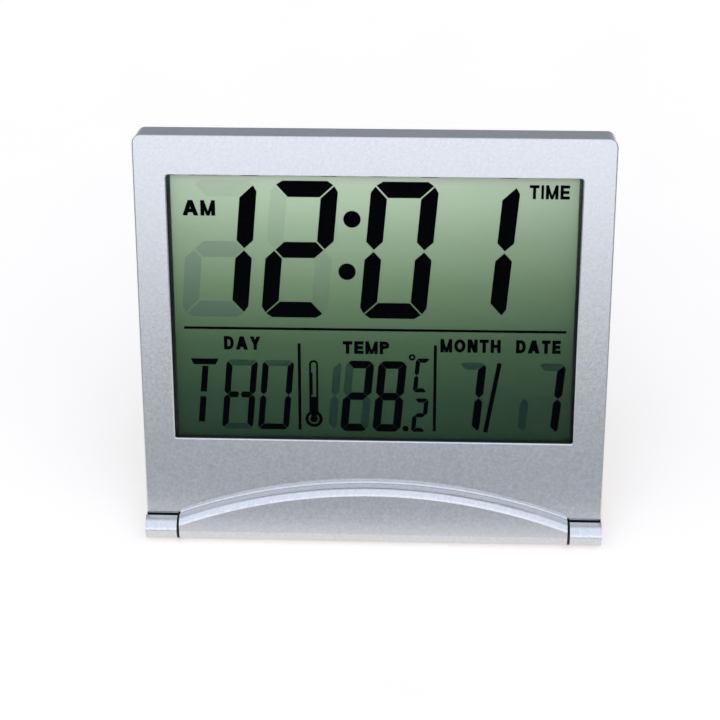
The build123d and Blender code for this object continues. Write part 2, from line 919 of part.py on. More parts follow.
save("front_case", front_case())
save("rear_cover", rear_cover())
save("window_lens", window_lens())
save("lcd_bezel", lcd_bezel())
save("front_polariser", film(polariser_y))
save("lcd_front_glass", glass(front_glass_y, glass_high_z))
save("lcd_rear_glass", glass(rear_glass_y, glass_high_z - contact_ledge))
save("lcd_reflector", film(reflector_y))
save("connector_strip", connector_strip())
save("circuit_board", circuit_board())
save("clock_chip", clock_chip())
save("quartz_crystal", quartz_crystal())
save("thermistor", thermistor())
save("board_components", board_components())
save("switch_bodies", switch_bodies())
key_names = ["snooze_key", "down_key", "up_key", "set_key", "mode_key"]
for key_name, key_x in zip(key_names, key_places()):
    save(key_name, key(key_x))
save("buzzer_disc", buzzer_disc())
save("buzzer_ceramic", buzzer_ceramic())
save("buzzer_leads", buzzer_leads())
save("coin_cell", coin_cell())
save("positive_contact", positive_contact())
save("negative_contact", negative_contact())
save("battery_cap", battery_cap())
save("case_screws", case_screws())
save("flip_cover", flip_cover(), cover_swing)
save("left_hinge_pin", hinge_pin(-1), cover_swing)
save("right_hinge_pin", hinge_pin(1), cover_swing)
save("cover_pads", cover_pads(), cover_swing)
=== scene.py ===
import json
from math import cos, pi, radians, sin, tau

import bmesh
import bpy
from mathutils import Matrix, Vector

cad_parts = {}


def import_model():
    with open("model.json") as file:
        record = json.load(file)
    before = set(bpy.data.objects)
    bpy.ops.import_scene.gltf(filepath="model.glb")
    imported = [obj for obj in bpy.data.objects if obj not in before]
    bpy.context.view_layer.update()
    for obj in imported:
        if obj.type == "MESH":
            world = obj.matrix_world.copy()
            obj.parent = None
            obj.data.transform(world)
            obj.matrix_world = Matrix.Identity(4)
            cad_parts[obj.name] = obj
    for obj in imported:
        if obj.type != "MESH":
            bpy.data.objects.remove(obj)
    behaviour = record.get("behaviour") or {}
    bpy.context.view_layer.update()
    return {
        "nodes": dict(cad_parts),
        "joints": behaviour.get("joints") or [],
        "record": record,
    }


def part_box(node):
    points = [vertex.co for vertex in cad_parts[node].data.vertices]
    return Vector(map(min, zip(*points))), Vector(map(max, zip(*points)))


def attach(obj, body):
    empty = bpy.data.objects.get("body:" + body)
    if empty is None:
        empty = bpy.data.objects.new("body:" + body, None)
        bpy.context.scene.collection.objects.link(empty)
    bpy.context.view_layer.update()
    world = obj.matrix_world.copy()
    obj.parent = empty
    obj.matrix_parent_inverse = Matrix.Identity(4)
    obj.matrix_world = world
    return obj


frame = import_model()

# A folding digital desk clock. The shapes come from the frame; this script adds the display's
# segments and words, two thin near-black washers that put painted shade into the hinge gaps, the
# finishes, the floor, the light and the camera. Lengths are in metres.

MM = 0.001

# Display, seen from the front: u to the right and v up from its middle.
# The segments stand a little in front of the film.
LIT_DEPTH = 0.05 * MM
FAINT_DEPTH = 0.04 * MM
SEGMENT_THICKNESS = 0.03 * MM

# Seven-segment figures: (half width, half height, stroke, gap, slant)
LARGE = (7.93 * MM, 16.88 * MM, 3.92 * MM, 0.36 * MM, 0.088)
SMALL = (3.42 * MM, 9.16 * MM, 1.92 * MM, 0.07 * MM, 0.087)
TINY = (1.77 * MM, 4.38 * MM, 1.06 * MM, 0.1 * MM, 0.09)
WEEKDAY = (3.8 * MM, 9.02 * MM, 1.5 * MM, 0.12 * MM, 0.089)
CORNER_CUT_SHARE = 0.27  # how deep the outer corners are cut, of the stroke
CORNER_REACH_SHARE = 0.68  # how far along they are cut, of the stroke
GAP_STEP_SHARE = 0.7  # how far each segment stays back from its neighbours, of the gap
HALF_BAR_GAP = 0.4 * MM  # between the halves of a bar that is split

LARGE_V = 14.7 * MM
SMALL_V = -22.23 * MM
# What each figure shows: (size, u, v, segments that are on, segments that show faintly)
FIGURES = (
    (LARGE, -36.76 * MM, LARGE_V, "bc", "adeg"),
    (LARGE, -17.64 * MM, LARGE_V, "abged", "cf"),
    (LARGE, 5.94 * MM, LARGE_V, "abcdef", ""),
    (LARGE, 24.92 * MM, LARGE_V, "bc", ""),
    (WEEKDAY, -32.62 * MM, SMALL_V, "bcefhi", "ad"),
    (WEEKDAY, -23.8 * MM, SMALL_V, "bcdef", "a"),
    (SMALL, -11.85 * MM, SMALL_V, "", "bc"),
    (SMALL, -3.99 * MM, SMALL_V, "abged", "cf"),
    (SMALL, 3.9 * MM, SMALL_V, "abcdefg", ""),
    (TINY, 11.66 * MM, -16.63 * MM, "adef", ""),
    (TINY, 11.3 * MM, -26.98 * MM, "abged", ""),
    (SMALL, 23.1 * MM, SMALL_V, "bc", "a"),
    (SMALL, 34.25 * MM, SMALL_V, "", "c"),
    (SMALL, 42.19 * MM, SMALL_V, "bc", "a"),
)
# Which of the faint segments go together, as equally strong
LARGE_FAINT = "deg"
LARGE_PALE = "acf"
SMALL_FAINT = "abcdef"

# The T of the weekday: a wide top stroke over a stem of two strokes
T_TOP_V = -13.78 * MM
T_TOP_HALF_WIDTH = 3.4 * MM
T_TOP_U = -41.0 * MM
T_STEM_U = -41.5 * MM
T_STEM_START_SHARE = 1 / 3  # the stem's strokes start this far from its middle, of the stroke

# Straight rules: (u, v) to (u, v) and width
RULES = (
    ((-45.75 * MM, -5.15 * MM), (46.1 * MM, -5.05 * MM), 0.62 * MM),
    ((-18.0 * MM, -8.8 * MM), (-18.0 * MM, -31.25 * MM), 0.72 * MM),
    ((14.88 * MM, -8.85 * MM), (14.88 * MM, -31.1 * MM), 0.72 * MM),
    ((30.37 * MM, -13.2 * MM), (27.3 * MM, -31.2 * MM), 1.05 * MM),
)
# Round dots: (u, v), radius and the radius of the hole in them
DOTS = (
    ((-5.17 * MM, 22.38 * MM), 2.05 * MM, 0),
    ((-6.37 * MM, 9.45 * MM), 2.05 * MM, 0),
    ((7.85 * MM, -30.55 * MM), 0.75 * MM, 0),
    ((9.3 * MM, -11.98 * MM), 0.8 * MM, 0.35 * MM),
)

# Thermometer
BULB = (-14.55 * MM, -28.35 * MM)
BULB_RADIUS = 2.13 * MM
BULB_LINE = 0.8 * MM
BULB_CORE = 0.95 * MM
TUBE_TOP_V = -13.3 * MM
TUBE_RADIUS = 0.85 * MM
TUBE_LINE = 0.5 * MM
COLUMN_TOP_V = -22.6 * MM
COLUMN_WIDTH = 1.3 * MM
MARK_TOP_V = -16.3 * MM
MARK_LOW_V = -22.0 * MM
MARK_WIDTH = 0.32 * MM

# Sides of the round forms
HALF_TURN_STEPS = 12
RING_STEPS = 24
DISC_STEPS = 32
BOWL_STEPS = 8
MITRE_LIMIT = 0.4  # keeps sharp corners of a ribbon from reaching out too far
CLOSED_SHARE = 0.01  # ends this near each other close a ribbon, of its width

# Words: (word, left, right, low, high, stroke)
WORDS = (
    ("AM", -45.2 * MM, -37.45 * MM, 22.9 * MM, 26.65 * MM, 0.93 * MM),
    ("TIME", 36.33 * MM, 45.68 * MM, 27.77 * MM, 31.13 * MM, 0.72 * MM),
    ("DAY", -36.19 * MM, -27.33 * MM, -10.6 * MM, -7.2 * MM, 0.82 * MM),
    ("TEMP", -7.44 * MM, 3.77 * MM, -11.28 * MM, -8.05 * MM, 0.84 * MM),
    ("MONTH", 16.07 * MM, 30.55 * MM, -10.55 * MM, -7.2 * MM, 0.82 * MM),
    ("DATE", 34.22 * MM, 44.9 * MM, -10.55 * MM, -7.2 * MM, 0.84 * MM),
)
LETTER_GAP_SHARE = 0.14  # space between letters, of their height
# How wide each letter is, of its height
LETTER_WIDTHS = {
    "A": 0.95,
    "D": 0.78,
    "E": 0.66,
    "H": 0.75,
    "I": 0.18,
    "M": 0.88,
    "N": 0.75,
    "O": 0.85,
    "P": 0.68,
    "T": 0.68,
    "Y": 0.85,
}
# Inside a letter's box of one by one
APEX_SHARE = 0.6  # half the width of the A's top, of the stroke
SLOPE_SHARE = 1.2  # how wide a leaning stroke is cut, of the stroke
VEE_SHARE = 0.8  # the same for the M's two inner strokes
A_BAR_START = 0.25
A_BAR_LOW = 0.2
E_BAR_END = 0.94
P_BOWL_START = 0.6
P_BOWL_LOW = 0.42
P_BOWL_MIDDLE = 0.71
Y_ARMS_LOW = 0.4
Y_STEM_HIGH = 0.46

# Camera, in the clock's own frame
CAMERA_PLACE = Vector((15.53, -427.6, 201.83)) * MM
CAMERA_TURN = radians(2.503)
CAMERA_TILT = radians(-20.16)
CAMERA_ROLL = radians(0.034)
CAMERA_LENS = 95.0
CAMERA_SENSOR = 36.0
CAMERA_CLIP = 10 * MM

# Near-black washers in the gaps between the boss and the cover's knuckles, as painted shade for
# the gaps
GAP_INNER_X = 47.87 * MM
GAP_OUTER_X = 48.53 * MM
WASHER_RADIUS = 2.9 * MM
WASHER_BORE = 0.9 * MM
WASHER_THICKNESS = 0.5 * MM
WASHER_SIDES = 48
WASHER_DARK = (0.002, 0.002, 0.002)
WASHER_LIGHT = (0.005, 0.005, 0.005)
WASHER_ROUGHNESS = 0.8

# Silver paint
SILVER_DARK = (0.6, 0.605, 0.61)
SILVER_LIGHT = (0.69, 0.695, 0.7)
SILVER_ROUGHNESS = 0.2
SILVER_ROUGHNESS_SPREAD = 0.1
SILVER_METALLIC = 0.9
SILVER_GRAIN_SCALE = 1500.0
SILVER_GRAIN_HEIGHT = 0.0015 * MM
FLAKE_SCALE = 2200.0
# Painted shade: the silver is darkened in the gaps beside the knuckles, between the inner and the
# outer x, and in those above them, from the low to the high line along the face. Both gaps end at
# the high line and at this reach from the hinge's axis.
GAP_LINE_LOW = 3.04 * MM
GAP_LINE_HIGH = 3.35 * MM
GAP_REACH = 4.6 * MM
GAP_SHADE_COLOUR = (0.004, 0.004, 0.005)

# The display's face: colours from its lower to its upper edge, by share of its height. They hold
# painted light and shade: darker towards the bottom and lighter towards the top, where the top
# colour also makes up for the shadow of the window's lip. Each pair of roughnesses, here and
# below, is the least and the most.
LCD_LOWEST = (0.0145, 0.0437, 0.0164)
LCD_SHADES = (
    (0.17, (0.0267, 0.065, 0.0278)),
    (0.37, (0.0677, 0.1308, 0.0569)),
    (0.44, (0.103, 0.176, 0.0846)),
    (0.58, (0.194, 0.293, 0.148)),
    (0.76, (0.383, 0.502, 0.304)),
    (0.93, (0.624, 0.766, 0.5)),
)
LCD_HIGHEST = (0.9, 0.96, 0.745)
# Painted shade: the display's colour darkens with distance from this x, towards its sides
LCD_PAINTED_LIGHT_X = -12 * MM  # the display is brightest at this x
LCD_PAINTED_SHADE_FALL = 0.2  # how much darker it is this far away
LCD_PAINTED_SHADE_REACH = 55 * MM
LCD_ROUGHNESS = (0.5, 0.6)
LCD_SPECULAR = 0.2
LCD_GRAIN_SCALE = 1500.0

# The segments: colour, and how opaque each side of their thin plates is. A ray
# meets both sides, so they show about twice as strong.
INK = ((0.0008, 0.001, 0.0015), 1.0)
FAINT_INK = ((0.01, 0.01, 0.16), 0.06)
PALE_INK = ((0.01, 0.01, 0.16), 0.025)
SMALL_FAINT_INK = ((0.001, 0.022, 0.03), 0.17)
INK_MOTTLE = 1.2
INK_ROUGHNESS = 0.6
INK_GRAIN_SCALE = 2000.0
INK_GRAIN_HEIGHT = 0.001 * MM

# The display's dark frame, greyer towards the top as painted light
FRAME_LOW = (0.008, 0.012, 0.01)
FRAME_HIGH = (0.08, 0.12, 0.09)
FRAME_START = 0.55
FRAME_ROUGHNESS = (0.5, 0.7)

# The window's clear lens
LENS_COLOUR = (0.02, 0.03, 0.03)
LENS_ALPHA = 0.02
LENS_SPECULAR = 0.01
LENS_ROUGHNESS = (0.03, 0.07)
LENS_HAZE_SCALE = 260.0
LENS_HAZE_DETAIL = 3.0

# The display's glass
GLASS_COLOUR = (0.7, 0.85, 0.75)
GLASS_ALPHA = 0.25
GLASS_ROUGHNESS = (0.02, 0.05)
GLASS_HAZE_SCALE = 200.0

# The circuit board: solder mask over copper tracks
MASK_DARK = (0.02, 0.12, 0.045)
MASK_LIGHT = (0.025, 0.14, 0.05)
TRACK_COLOUR = (0.06, 0.26, 0.09)
TRACK_SCALE = 400.0
TRACK_WIDTH = 0.04
TRACK_HEIGHT = 0.03 * MM
MASK_ROUGHNESS = (0.3, 0.4)

# Most of a noise's values lie between these
NOISE_LOW = 0.3
NOISE_HIGH = 0.7

# Finishes that only have a grain: darker colour, lighter colour and roughness
GRAIN_SCALE = 900.0
GRAIN_HEIGHT = 0.01 * MM
GRAIN_DETAIL = 4.0
GRAIN_ROUGHNESS_SPREAD = 0.15
GRAINED_FINISHES = {
    "reflector": ((0.3, 0.36, 0.28), (0.36, 0.42, 0.33), 0.5),
    "black_rubber": ((0.012, 0.012, 0.013), (0.025, 0.025, 0.027), 0.8),
    "black_resin": ((0.008, 0.008, 0.009), (0.018, 0.018, 0.02), 0.3),
    "ceramic": ((0.66, 0.64, 0.6), (0.76, 0.74, 0.7), 0.5),
    "component": ((0.2, 0.13, 0.08), (0.3, 0.2, 0.13), 0.45),
    "wire": ((0.36, 0.015, 0.012), (0.45, 0.03, 0.02), 0.4),
}

# Brushed metals: darker and lighter colour
BRUSHED_FINISHES = {
    "steel": ((0.55, 0.56, 0.58), (0.66, 0.67, 0.69)),
    "brass": ((0.68, 0.5, 0.22), (0.78, 0.6, 0.3)),
}
BRUSHED_ROUGHNESS = 0.3
BRUSHED_SCALE = 700.0
BRUSHED_HEIGHT = 0.004 * MM
BRUSHED_STRETCH = (1, 12, 1)

# The keys' rubber
KEY_DARK = (0.16, 0.17, 0.19)
KEY_LIGHT = (0.2, 0.21, 0.23)
KEY_ROUGHNESS = 0.45
KEY_GRAIN_SCALE = 2200.0
KEY_GRAIN_HEIGHT = 0.02 * MM

# Floor: a grey table with a white sheet on it, as large as the camera's view
FLOOR_MIDDLE = (-8 * MM, 66 * MM)
FLOOR_RADIUS = 1100 * MM
FLOOR_RING = 96
FLOOR_GRAIN_SCALE = 30.0
FLOOR_MOTTLE = 1.02
FLOOR_ROUGHNESS = (0.8, 0.9)
SHEET_HALF_WIDTH = 160 * MM
SHEET_HALF_DEPTH = 176 * MM
SHEET_POWER = 6.0
SHEET_EDGE = 0.15  # how softly the sheet ends
SHEET_COLOUR = (0.8, 0.77, 0.74)
SHEET_GLOW = 0.385
GLOW_COLOUR = (1, 0.92, 0.83)
TABLE_COLOUR = (0.43, 0.43, 0.43)

# Light: bright in front and above, dim behind and at the sides
SKY_LOW = (1.38, 1.44, 1.59)
SKY_HIGH = (1.06, 1.15, 1.32)
SKY_LOW_END = radians(12)
SKY_HIGH_START = radians(35)
WORLD_FRONT = (0.42, 0.42, 0.4)
BACK_HIGH = (0.46, 0.5, 0.56)
BACK_LOW = (0.2, 0.22, 0.25)
BACK_RISE = radians(60)  # where the back is brightest
HORIZON_LOW = radians(0)
HORIZON_HIGH = radians(4)
# Where one shade gives way to the next, from -1 in front to 1 behind
SKY_END = -0.05
BACK_START = 0.4
LOWER_FRONT_END = -0.3
LOWER_BACK_START = 0.3
# The same from the middle to a side, less the height
SIDE_START = 0.3
SIDE_END = 0.7


# The clock's own frame: x right, y from the face to the back, z up along the
# face, with the cover's hinge axis as origin.
joints = {joint["name"]: joint for joint in frame["joints"]}
hinge_point = Vector(joints["cover_hinge"]["pos_m"])
backwards = -Vector(joints["snooze_press"]["axis"]).normalized()
rightwards = Vector((1, 0, 0))
upwards = rightwards.cross(backwards)
clock_axes = Matrix((rightwards, backwards, upwards)).transposed().to_4x4()
clock_frame = Matrix.Translation(hinge_point) @ clock_axes


def clock_box(node):
    """Lowest and highest corner of a CAD node in the clock's own frame."""
    to_clock = clock_frame.inverted()
    points = [to_clock @ vertex.co for vertex in frame["nodes"][node].data.vertices]
    low = Vector([min(point[axis] for point in points) for axis in range(3)])
    high = Vector([max(point[axis] for point in points) for axis in range(3)])
    return low, high


film_low, film_high = clock_box("front_polariser")
display_middle = (film_low + film_high) / 2
film_front = film_low.y


# Outlines of the display


def segment_outlines(size):
    """The segments of a figure, upright and about its middle; h and i are the halves of g."""
    half_width, half_height, stroke, gap, _ = size
    inner = half_width - stroke
    low = half_height - stroke
    middle = half_width - stroke / 2
    cut = stroke * CORNER_CUT_SHARE
    reach = stroke * CORNER_REACH_SHARE
    step = gap * GAP_STEP_SHARE
    along = (1 - step / reach) * (reach - cut)
    across = (1 - step / reach) * cut
    flat = half_width - reach
    top_half = [
        (flat, half_height),
        (flat + along, half_height - across),
        (inner - step, low),
    ]
    top = [(-u, v) for u, v in reversed(top_half)] + top_half
    side = [
        (inner, low - step),
        (half_width - across, half_height - reach + along),
        (half_width, half_height - reach),
        (half_width, step + stroke / 2),
        (middle, step),
        (inner, step + stroke / 2),
    ]
    tip = middle - step
    bar = [(tip, 0), (tip - stroke / 2, stroke / 2), (stroke / 2 - tip, stroke / 2)]
    bar += [(-u, -v) for u, v in bar]
    inside = HALF_BAR_GAP / 2
    half = [(tip, 0), (tip - stroke / 2, stroke / 2), (inside + stroke / 4, stroke / 2)]
    half += [(inside, 0)] + [(u, -v) for u, v in reversed(half[1:])]
    return {
        "a": top,
        "b": side,
        "c": [(u, -v) for u, v in side],
        "d": [(u, -v) for u, v in top],
        "e": [(-u, -v) for u, v in side],
        "f": [(-u, v) for u, v in side],
        "g": bar,
        "h": half,
        "i": [(-u, v) for u, v in half],
    }


def figure(size, u, v, letters):
    """Outlines of some of a figure's segments, slanted and in place."""
    outlines = segment_outlines(size)
    slant = size[-1]
    return [[(u + x + slant * y, v + y) for x, y in outlines[letter]] for letter in letters]


def ribbon(points, width):
    """Quads along a line of points, mitred at its corners."""
    line = [Vector(point) for point in points]
    closed = (line[0] - line[-1]).length < width * CLOSED_SHARE
    count = len(line)
    sides = []
    for index, point in enumerate(line):
        before = line[index - 1] if index else (line[-2] if closed else None)
        after = line[index + 1] if index < count - 1 else (line[1] if closed else None)
        arriving = (point - before).normalized() if before else (after - point).normalized()
        leaving = (after - point).normalized() if after else arriving
        bisector = (arriving + leaving).normalized()
        normal = Vector((-bisector.y, bisector.x))
        mitre = max(normal.dot(Vector((-leaving.y, leaving.x))), MITRE_LIMIT)
        reach = width / 2 / mitre
        sides.append((point + normal * reach, point - normal * reach))
    return [
        [sides[k][0], sides[k + 1][0], sides[k + 1][1], sides[k][1]] for k in range(count - 1)
    ]


def box(left, low, right, high):
    """An upright rectangle."""
    return [(left, low), (right, low), (right, high), (left, high)]


def leg(low_left, low_right, high_left, high_right, low=0, high=1):
    """A stroke that leans from one height to another."""
    return [(low_left, low), (low_right, low), (high_right, high), (high_left, high)]


def mirrored(shape):
    """The same shape on the other side of the letter."""
    return [(1 - x, y) for x, y in shape]


def bowl(middle_x, middle_y, across, along):
    """The round side of a D, an O or a P up to the box's right, in four-sided pieces."""
    reach = 1 - middle_x
    half_height = 1 - middle_y
    angles = [pi / 2 - pi * k / BOWL_STEPS for k in range(BOWL_STEPS + 1)]
    outer = [(middle_x + reach * cos(a), middle_y + half_height * sin(a)) for a in angles]
    reach -= across
    half_height -= along
    inner = [(middle_x + reach * cos(a), middle_y + half_height * sin(a)) for a in angles]
    return [[outer[k], outer[k + 1], inner[k + 1], inner[k]] for k in range(BOWL_STEPS)]


def letter_shapes(letter, across, along):
    """A letter's strokes in a box of one by one; across and along are the stroke's shares."""
    half = across / 2
    apex = APEX_SHARE * across
    slope = SLOPE_SHARE * across
    vee_half = VEE_SHARE * across / 2
    stem = box(0, 0, across, 1)
    middle_stem = box(0.5 - half, 0, 0.5 + half, 1)
    foot = leg(0, slope, 0.5 - apex, 0.5 + apex)
    vee = leg(0.5 - vee_half, 0.5 + vee_half, half - vee_half, half + vee_half)
    arm = leg(0.5 - half, 0.5 + half, 0, slope, Y_ARMS_LOW)
    low_bar = box(0, 0, 1, along)
    middle_bar = box(0, 0.5 - along / 2, 1, 0.5 + along / 2)
    high_bar = box(0, 1 - along, 1, 1)
    right_half = bowl(0.5, 0.5, across, along)
    shapes = {
        "A": [foot, mirrored(foot)]
        + [box(A_BAR_START, A_BAR_LOW, 1 - A_BAR_START, A_BAR_LOW + along)],
        "D": [stem, box(0, 0, 0.5, along), box(0, 1 - along, 0.5, 1)] + right_half,
        "E": [stem, low_bar, high_bar, [(x * E_BAR_END, y) for x, y in middle_bar]],
        "H": [stem, mirrored(stem), middle_bar],
        "I": [box(0, 0, 1, 1)],
        "M": [stem, mirrored(stem), vee, mirrored(vee)],
        "N": [stem, mirrored(stem), leg(1 - slope, 1, 0, slope)],
        "O": right_half + [mirrored(piece) for piece in right_half],
        "P": [stem, box(0, 1 - along, P_BOWL_START, 1)]
        + [box(0, P_BOWL_LOW, P_BOWL_START, P_BOWL_LOW + along)]
        + bowl(P_BOWL_START, P_BOWL_MIDDLE, across, along),
        "T": [high_bar, middle_stem],
        "Y": [box(0.5 - half, 0, 0.5 + half, Y_STEM_HIGH), arm, mirrored(arm)],
    }
    return shapes[letter]


def word_outlines(word, left, right, low, high, stroke):
    """The strokes of a word, its letters spread between two ends."""
    height = high - low
    gap = LETTER_GAP_SHARE * height
    widths = [LETTER_WIDTHS[letter] for letter in word]
    scale = (right - left - gap * (len(word) - 1)) / sum(widths)
    outlines = []
    u = left
    for letter, share in zip(word, widths):
        width = share * scale
        for shape in letter_shapes(letter, stroke / width, stroke / height):
            outlines.append([(u + x * width, low + y * height) for x, y in shape])
        u += width + gap
    return outlines


def arc(middle, radius, start, end, steps):
    """Points on an arc, angles counted from the right."""
    angles = [start + (end - start) * k / steps for k in range(steps + 1)]
    return [(middle[0] + radius * cos(a), middle[1] + radius * sin(a)) for a in angles]


def dot(middle, radius, hole):
    """A round dot, or a ring where it has a hole."""
    if hole:
        return ribbon(arc(middle, (radius + hole) / 2, 0, tau, RING_STEPS), radius - hole)
    return [arc(middle, radius, 0, tau, DISC_STEPS)[:-1]]


def weekday_t():
    """The T of the weekday."""
    _, half_height, stroke, gap, slant = WEEKDAY
    half_stroke = stroke / 2
    top = [
        (T_TOP_U - T_TOP_HALF_WIDTH, T_TOP_V + half_stroke),
        (T_TOP_U + T_TOP_HALF_WIDTH, T_TOP_V + half_stroke),
        (T_TOP_U + T_TOP_HALF_WIDTH - half_stroke, T_TOP_V - half_stroke),
        (T_TOP_U - T_TOP_HALF_WIDTH + half_stroke, T_TOP_V - half_stroke),
    ]
    start = gap + stroke * T_STEM_START_SHARE
    end = half_height - stroke - 2 * gap
    stem = []
    for side in (-1, 1):
        ends = [(T_STEM_U + slant * v, SMALL_V + v) for v in (side * start, side * end)]
        stem += ribbon(ends, stroke)
    return [top] + stem


def thermometer():
    """A tube with a round top, a bulb with a core, and the column and mark in the tube."""
    u, v = BULB
    join_v = v + BULB_RADIUS - BULB_LINE
    tube = [(u - TUBE_RADIUS, join_v)]
    tube += arc((u, TUBE_TOP_V - TUBE_RADIUS), TUBE_RADIUS, pi, 0, HALF_TURN_STEPS)
    tube += [(u + TUBE_RADIUS, join_v)]
    bulb = arc(BULB, BULB_RADIUS - BULB_LINE / 2, 0, tau, DISC_STEPS)
    column = ribbon([(u, COLUMN_TOP_V), BULB], COLUMN_WIDTH)
    mark_u = u - TUBE_RADIUS / 2
    mark = ribbon([(mark_u, MARK_TOP_V), (mark_u, MARK_LOW_V)], MARK_WIDTH)
    core = dot(BULB, BULB_CORE, 0)
    return ribbon(tube, TUBE_LINE) + ribbon(bulb, BULB_LINE) + core + column + mark


def lit_outlines():
    """Everything dark on the display except the words."""
    outlines = weekday_t() + thermometer()
    for size, u, v, lit, _ in FIGURES:
        outlines += figure(size, u, v, lit)
    for start, end, width in RULES:
        outlines += ribbon([start, end], width)
    for middle, radius, hole in DOTS:
        outlines += dot(middle, radius, hole)
    return outlines


def faint_outlines(sizes, wanted):
    """The segments that are off and still show faintly, in figures of some sizes."""
    outlines = []
    for size, u, v, _, faint in FIGURES:
        if size in sizes:
            outlines += figure(size, u, v, [letter for letter in faint if letter in wanted])
    return outlines


# Meshes


def add_piece(name, mesh, material):
    """Puts a mesh into the scene as an object with one material."""
    data = bpy.data.meshes.new(name)
    mesh.to_mesh(data)
    mesh.free()
    data.materials.append(material)
    piece = bpy.data.objects.new(name, data)
    bpy.context.scene.collection.objects.link(piece)
    return piece


def on_display(u, v, depth):
    """A point of the display in the scene, at a depth in the clock's frame."""
    return clock_frame @ Vector((display_middle.x + u, depth, display_middle.z + v))


def plates(outlines, front):
    """Thin plates with the given outlines, their fronts at a depth in the clock's frame."""
    mesh = bmesh.new()
    for outline in outlines:
        near, far = [
            [mesh.verts.new(on_display(u, v, depth)) for u, v in outline]
            for depth in (front, front + SEGMENT_THICKNESS)
        ]
        mesh.faces.new(near)
        mesh.faces.new(list(reversed(far)))
        for k in range(len(outline)):
            mesh.faces.new([near[k], near[k - 1], far[k - 1], far[k]])
    bmesh.ops.recalc_face_normals(mesh, faces=mesh.faces)
    return mesh


def washer(x):
    """A thin washer round the cover's hinge."""
    mesh = bmesh.new()
    angles = [tau * k / WASHER_SIDES for k in range(WASHER_SIDES)]
    half = WASHER_THICKNESS / 2
    corners = [(-half, WASHER_BORE), (-half, WASHER_RADIUS)]
    corners += [(half, WASHER_RADIUS), (half, WASHER_BORE)]
    rows = []
    for step, radius in corners:
        offsets = [Vector((x + step, radius * cos(a), radius * sin(a))) for a in angles]
        rows.append([mesh.verts.new(hinge_point + offset) for offset in offsets])
    for first, second in zip(rows, rows[1:] + rows[:1]):
        for k in range(WASHER_SIDES):
            mesh.faces.new((first[k - 1], second[k - 1], second[k], first[k]))
    bmesh.ops.recalc_face_normals(mesh, faces=mesh.faces)
    return mesh


# Nodes


def new_material(name):
    """A node material; returns it, its tree and its Principled shader."""
    material = bpy.data.materials.new(name)
    material.use_nodes = True
    tree = material.node_tree
    return material, tree, tree.nodes["Principled BSDF"]


def put(tree, node, socket, value):
    """Gives a node's input a number, a colour or another node's output."""
    if isinstance(value, bpy.types.NodeSocket):
        tree.links.new(value, node.inputs[socket])
    elif isinstance(value, tuple):
        node.inputs[socket].default_value = (*value, 1)
    else:
        node.inputs[socket].default_value = value


def coordinates(tree, space="Object"):
    """The x, y and z of the point being shaded, or in a world of the direction."""
    place = tree.nodes.new("ShaderNodeTexCoord")
    split = tree.nodes.new("ShaderNodeSeparateXYZ")
    put(tree, split, "Vector", place.outputs[space])
    return split.outputs["X"], split.outputs["Y"], split.outputs["Z"]


def noise(tree, scale, detail=2.0, stretch=(1, 1, 1)):
    """Noise in the object's own space, stretched along an axis where asked."""
    place = tree.nodes.new("ShaderNodeTexCoord")
    mapping = tree.nodes.new("ShaderNodeMapping")
    mapping.inputs["Scale"].default_value = stretch
    put(tree, mapping, "Vector", place.outputs["Object"])
    texture = tree.nodes.new("ShaderNodeTexNoise")
    put(tree, texture, "Scale", scale)
    put(tree, texture, "Detail", detail)
    put(tree, texture, "Vector", mapping.outputs["Vector"])
    return texture.outputs["Fac"]


def spread(tree, value, low, high, start=NOISE_LOW, end=NOISE_HIGH):
    """Maps a range of a value, by default a noise's, to two others."""
    node = tree.nodes.new("ShaderNodeMapRange")
    put(tree, node, "From Min", start)
    put(tree, node, "From Max", end)
    put(tree, node, "To Min", low)
    put(tree, node, "To Max", high)
    put(tree, node, "Value", value)
    return node.outputs["Result"]


def between(tree, value, low, high):
    """How far a value lies from one limit to another, from zero to one."""
    return spread(tree, value, 0, 1, low, high)


def tint(tree, value, first, second, start=NOISE_LOW, end=NOISE_HIGH):
    """Blends two colours by a value."""
    ramp = tree.nodes.new("ShaderNodeValToRGB")
    ramp.color_ramp.elements[0].position = start
    ramp.color_ramp.elements[0].color = (*first, 1)
    ramp.color_ramp.elements[1].position = end
    ramp.color_ramp.elements[1].color = (*second, 1)
    put(tree, ramp, "Fac", value)
    return ramp.outputs["Color"]


def mix(tree, factor, first, second):
    """Blends two colours, each three numbers or another node's output."""
    node = tree.nodes.new("ShaderNodeMix")
    node.data_type = "RGBA"
    put(tree, node, "Factor", factor)
    put(tree, node, "A", first)
    put(tree, node, "B", second)
    return node.outputs["Result"]


def calculate(tree, operation, first, second=0.0):
    """The result of two values, each a number or another node's output."""
    node = tree.nodes.new("ShaderNodeMath")
    node.operation = operation
    put(tree, node, 0, first)
    put(tree, node, 1, second)
    return node.outputs["Value"]


def product(tree, first, *others):
    """The product of several values."""
    for other in others:
        first = calculate(tree, "MULTIPLY", first, other)
    return first


def bump(tree, shader, value, height):
    """Raises the surface by a value, height in metres."""
    node = tree.nodes.new("ShaderNodeBump")
    put(tree, node, "Distance", height)
    put(tree, node, "Height", value)
    put(tree, shader, "Normal", node.outputs["Normal"])


# Finishes


def grained(
    name,
    first,
    second,
    roughness,
    metallic=0.0,
    scale=GRAIN_SCALE,
    height=GRAIN_HEIGHT,
    stretch=(1, 1, 1),
):
    """A finish with mottled colour, uneven gloss and a fine grain."""
    material, tree, shader = new_material(name)
    texture = noise(tree, scale, GRAIN_DETAIL, stretch)
    put(tree, shader, "Base Color", tint(tree, texture, first, second))
    smoothest = roughness * (1 - GRAIN_ROUGHNESS_SPREAD)
    roughest = roughness * (1 + GRAIN_ROUGHNESS_SPREAD)
    put(tree, shader, "Roughness", spread(tree, texture, smoothest, roughest))
    put(tree, shader, "Metallic", metallic)
    bump(tree, shader, texture, height)
    return material


